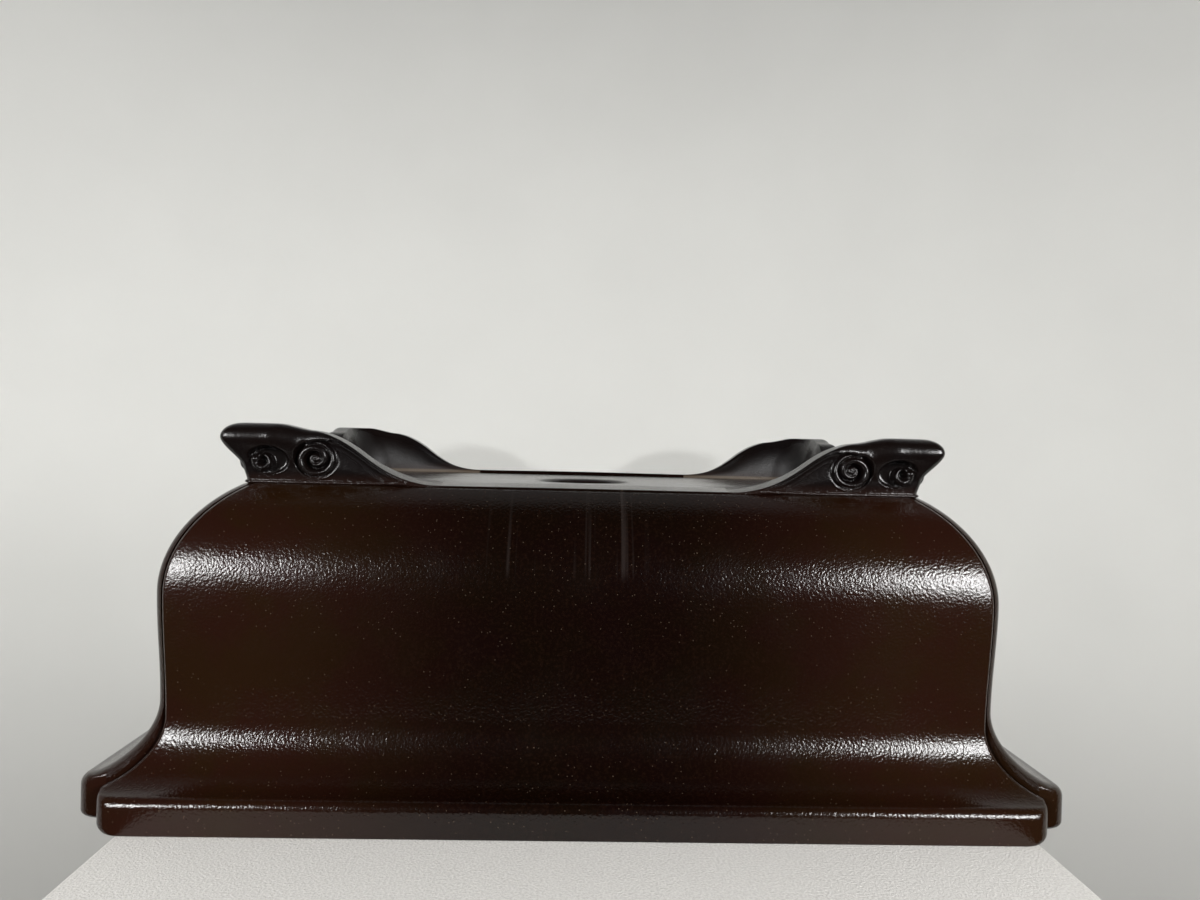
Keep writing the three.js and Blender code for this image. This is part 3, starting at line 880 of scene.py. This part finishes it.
# %% Fold a foot
FOOT_CORNER = 3.5
INNER_TURN = 1.06  # how much the turn's radius grows with the depth behind the face
CORNER_SPAN = 38.0  # stretch of an arm in which the sheet still turns the corner
FINE, COARSE = 0.36, 0.8  # spacing of the stations near the scrolls and along the tail
FINE_END = 54.0


def stations(arm, edge):
    """Distances along an arm, from the corner to its end, each with its own section."""
    fine = spread(0.0, FINE_END, round(FINE_END / FINE))
    coarse = spread(FINE_END, arm, round((arm - FINE_END) / COARSE))[1:]
    return [(along, foot_section(read_line(edge, along), along)) for along in fine + coarse]


def round_corner(along, out):
    """Where a point lies in plan. The outside turns the corner tightly, the inside in a wide curve."""
    if along >= CORNER_SPAN:
        return along, out
    radius = FOOT_CORNER + INNER_TURN * max(0.0, -out)
    arc = radius * math.pi / 4
    straight = radius - out
    way = along / CORNER_SPAN * (arc + CORNER_SPAN - straight)
    if way > arc:
        return straight + way - arc, out
    angle = math.pi / 4 - way / radius
    return straight - radius * math.sin(angle), out - radius * (1 - math.cos(angle))


def plan_row(along, section, edge):
    """A section's points in plan: (distance from the corner, distance out, height)."""
    row = []
    for i, (out, up) in enumerate(section):
        x, out = round_corner(along, out)
        up *= read_line(edge, x) / read_line(edge, along)
        row.append((x, sculpt(x, up, out) if i < FACE_POINTS else out, up))
    return row


def fold_foot():
    """The foot of the corner at +X, -Y."""
    rows = []
    for along, section in reversed(stations(front_arm, front_edge)):
        row = plan_row(along, section, front_edge)
        rows.append([(root_x - x, -(root_y + out), body_height + up) for x, out, up in row])
    for along, section in stations(side_arm, side_edge)[1:]:
        row = plan_row(along, section, side_edge)
        rows.append([(root_x + out, -(root_y - x), body_height + up) for x, out, up in row])
    return fold(rows)


foot = fold_foot()
print("vertices of a foot:", len(foot.verts))

# %% Soften the scrolls
BRUSH_WIDE, BRUSH_TALL, BRUSH_STROKES = 11.0, 10.0, 2
FACE_BAND = 4.0  # a point less than this behind a face belongs to it


def under_brush(point):
    """Whether a point of the foot, in metres, lies on a scroll or in its bowl."""
    across, depth = root_x - point.x / MM, root_y + point.y / MM
    up = point.z / MM - body_height
    along = across if depth < FACE_BAND else depth
    for scroll in (large, small):
        beside, over = abs(along - scroll["bowl_x"]), abs(up - scroll["bowl_up"])
        if beside < BRUSH_WIDE and over < BRUSH_TALL:
            return min(across, depth) < FACE_BAND
    return False


brushed = [vert for vert in foot.verts if under_brush(vert.co)]
axes = {"use_axis_x": True, "use_axis_y": True, "use_axis_z": True}
for _ in range(BRUSH_STROKES):
    bmesh.ops.smooth_vert(foot, verts=brushed, factor=0.5, **axes)
print("vertices under the brush:", len(brushed))

# %% Set the four feet
CORNERS = {"front_right": (1, 1), "front_left": (-1, 1), "back_right": (1, -1), "back_left": (-1, -1)}
for corner, (flip_x, flip_y) in CORNERS.items():
    copy = foot.copy()
    bmesh.ops.scale(copy, verts=copy.verts, vec=(flip_x, flip_y, 1))
    if flip_x * flip_y < 0:
        bmesh.ops.reverse_faces(copy, faces=copy.faces)
    node = f"foot_{corner}"
    finish_piece(f"scroll_{node}", copy, moulded.material, [node], 60.0)
foot.free()

# %% [markdown]
# ## The ribbon
#
# Between the feet a low rounded ribbon runs along the base. It has the section of the feet's tails
# and rises a little towards the middle.

# %% Ribbons
RIBBON_CROWN = 0.3
RIBBON_STEPS = 48


def fold_ribbon(half, face):
    """The ribbon of the side that faces -Y, from -half to half, with its root at that distance."""
    section = foot_section(rail_height, front_arm)
    rows = []
    for x in spread(-half, half, RIBBON_STEPS):
        rise = RIBBON_CROWN * (1 - (x / half) ** 2) ** 2
        stretch = 1 + rise / rail_height
        rows.append([(x, -(face + out), body_height + up * stretch) for out, up in section])
    return fold(rows)


for side, degrees in SIDES.items():
    if side in ("front", "back"):
        ribbon = fold_ribbon(root_x - front_arm, root_y)
    else:
        ribbon = fold_ribbon(root_y - side_arm, root_x)
    turn_about_z(ribbon, degrees)
    finish_piece(f"ribbon_{side}", ribbon, glaze.material, [f"base_rail_{side}"], 60.0)

# %% [markdown]
# ## Inside the pot
#
# Coils of clay are pressed into the inner corners to seal them. The frame's solids have the right
# form for these, so they stay, and only get their bare clay finish.

# %% Coils
for name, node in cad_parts.items():
    if "coil" in name:
        node.data.materials.clear()
        node.data.materials.append(bare.material)
        print(f"{name}: bare clay")

# %% [markdown]
# ## Table and backdrop
#
# The pot stands on a pale table a little narrower than itself, in front of a pale wall. Both are
# plain, but the wall is painted darker towards its foot, a painted shade. The table ends close in
# front of the pot, so the glaze there mirrors a dark room and stays dark. The wall is one bent
# sheet, spun a little more than half way round the pot, so that no corner shows behind it.

# %% Pale surfaces
NAP_DEPTH = 0.0006  # metres
pale = Finish("pale_wall")
pale_tone = pale.noise(3.0, 3.0, seed=31.0)
pale_color = pale.mix(pale_tone, paint(0.60, 0.598, 0.575), paint(0.66, 0.658, 0.633))
# Painted shade: the wall's colour darkens towards its foot, below the table.
pale_color = pale.mix(pale.z.ramp(-0.85, -0.25), paint(0.42, 0.415, 0.40), pale_color)
pale.set(base_color=pale_color, roughness=0.9)

felt = Finish("pale_table")
nap = felt.noise(900.0, 3.0, 0.6, seed=33.0)
felt_color = felt.mix(nap.ramp(0.35, 0.65), paint(0.62, 0.60, 0.57), paint(0.76, 0.74, 0.705))
felt.set(base_color=felt_color, roughness=0.95, normal=felt.bump(nap, NAP_DEPTH))
count_nodes(pale)
count_nodes(felt)


def stage_piece(name, bm, finish):
    for face in bm.faces:
        face.smooth = True
    piece = object_from(name, bm, finish)
    return piece


# %% Table
FLOOR_LEVEL = -0.75  # metres, as all sizes of the stage
TABLE_LOW, TABLE_HIGH = Vector((-0.201, -0.222, FLOOR_LEVEL)), Vector((0.2065, 0.240, 0.0))
TABLE_EDGE = 0.003

table = box_between(TABLE_LOW, TABLE_HIGH)
edges = {"geom": table.edges[:], "affect": "EDGES", "offset": TABLE_EDGE, "segments": 4}
bmesh.ops.bevel(table, profile=0.5, material=-1, **edges)
table_object = stage_piece("table", table, felt.material)
print("table:", [round(length, 3) for length in TABLE_HIGH - TABLE_LOW])

# %% Backdrop
BEND, BACK, TOP = 0.6, 2.0, 2.6
UNDER_TABLE = 0.3
FIRST_DEGREE, DEGREES = -15, 210

line = [(UNDER_TABLE, FLOOR_LEVEL), (BACK - BEND, FLOOR_LEVEL)]
for angle in spread(0, math.pi / 2, 16)[1:]:
    line.append((BACK - BEND + BEND * math.sin(angle), FLOOR_LEVEL + BEND * (1 - math.cos(angle))))
line.append((BACK, TOP))

backdrop = bmesh.new()
verts = [backdrop.verts.new((distance, 0, height)) for distance, height in line]
edges = [backdrop.edges.new(pair) for pair in zip(verts, verts[1:])]
turned = {"cent": (0, 0, 0), "axis": (0, 0, 1), "angle": math.radians(DEGREES), "steps": 60}
bmesh.ops.spin(backdrop, geom=verts + edges, **turned)
turn_about_z(backdrop, FIRST_DEGREE)
backdrop_object = stage_piece("backdrop", backdrop, pale.material)
print("backdrop faces:", len(backdrop_object.data.polygons))

# %% [markdown]
# ## Lamps
#
# A broad soft lamp stands low on each side, with a narrow brighter one at its inner edge. They put a
# highlight on the shoulder and on the flare near each end, which fades towards the middle. A faint
# lamp above fills the rest. The wall and the table have lamps that light nothing else, so that their
# tone can be set without changing the glaze. Two of them are small, and throw the back feet's shadows.

# %% Lamps on the pot
LAMP_Y = -1.00
TO_LEFT, TO_RIGHT = (-0.10, 0.0, 0.10), (0.10, 0.0, 0.10)


def soft_lamp(name, place, target, size, watts):
    """A rectangular lamp at a place, turned to a target."""
    lamp = bpy.data.objects.new(name, bpy.data.lights.new(name, "AREA"))
    lamp.data.shape = "RECTANGLE"
    lamp.data.size, lamp.data.size_y = size
    lamp.data.energy = watts
    lamp.visible_camera = False
    aim = Vector(target) - Vector(place)
    lamp.location = place
    lamp.rotation_euler = aim.to_track_quat("-Z", "Y").to_euler()
    bpy.context.scene.collection.objects.link(lamp)
    print(f"{name}: {watts} W")
    return lamp


soft_lamp("left_lamp", (-0.87, LAMP_Y, 0.39), TO_LEFT, (0.46, 0.36), 7.0)
soft_lamp("right_lamp", (0.81, LAMP_Y, 0.38), TO_RIGHT, (0.46, 0.40), 9.0)
soft_lamp("left_core", (-0.645, LAMP_Y, 0.39), TO_LEFT, (0.12, 0.24), 4.2)
soft_lamp("right_core", (0.605, LAMP_Y, 0.38), TO_RIGHT, (0.12, 0.26), 4.2)
soft_lamp("top_lamp", (0.0, 0.8, 1.8), (0.0, 0.0, 0.0), (2.4, 1.6), 2.4)

# %% Lamps on the wall and the table
WALL_SPREAD, SHADOW_SPREAD, TABLE_SPREAD = (1.2, 0.6), (0.015, 0.015), (0.3, 0.3)


def stage_lamp(name, place, target, size, watts, receiver):
    """A lamp that lights only one piece of the stage."""
    lit = bpy.data.collections.new(f"{name}_lights")
    lit.objects.link(receiver)
    lamp = soft_lamp(name, place, target, size, watts)
    lamp.light_linking.receiver_collection = lit


for side, x, watts in (("left", -0.72, 2.8), ("middle", -0.05, 1.4), ("right", 0.62, 0.5)):
    place, target = (x, 0.50, 0.42), (x, 1.9, 0.36)
    stage_lamp(f"wall_lamp_{side}", place, target, WALL_SPREAD, watts, backdrop_object)
for side, x in (("left", -0.084), ("right", 0.084)):
    place, target = (x, LAMP_Y, 0.197), (x, 0.0, 0.18)
    stage_lamp(f"shadow_lamp_{side}", place, target, SHADOW_SPREAD, 20.0, backdrop_object)
for side, x, watts in (("left", -0.6, 0.95), ("right", 0.6, 0.8)):
    place, target = (x, -0.55, 0.45), (0.4 * x, -0.15, 0.0)
    stage_lamp(f"table_lamp_{side}", place, target, TABLE_SPREAD, watts, table_object)

# %% [markdown]
# ## The room
#
# The world is pale to the camera, so that the views from behind have a pale background too, and
# dark to the glaze, which mirrors the unlit room behind the camera. Light Path tells the two apart.

# %% World
DARK_ROOM, PALE_ROOM = 0.04, 1.0

world = bpy.data.worlds.new("room")
world.use_nodes = True
bpy.context.scene.world = world
background = world.node_tree.nodes["Background"]
background.inputs["Color"].default_value = paint(0.62, 0.61, 0.58)
rays = world.node_tree.nodes.new("ShaderNodeLightPath")
level = world.node_tree.nodes.new("ShaderNodeMapRange")
level.inputs["To Min"].default_value = DARK_ROOM
level.inputs["To Max"].default_value = PALE_ROOM
world.node_tree.links.new(rays.outputs["Is Camera Ray"], level.inputs["Value"])
world.node_tree.links.new(level.outputs["Result"], background.inputs["Strength"])
bpy.context.scene.view_settings.view_transform = "Standard"
print("view transform:", bpy.context.scene.view_settings.view_transform)
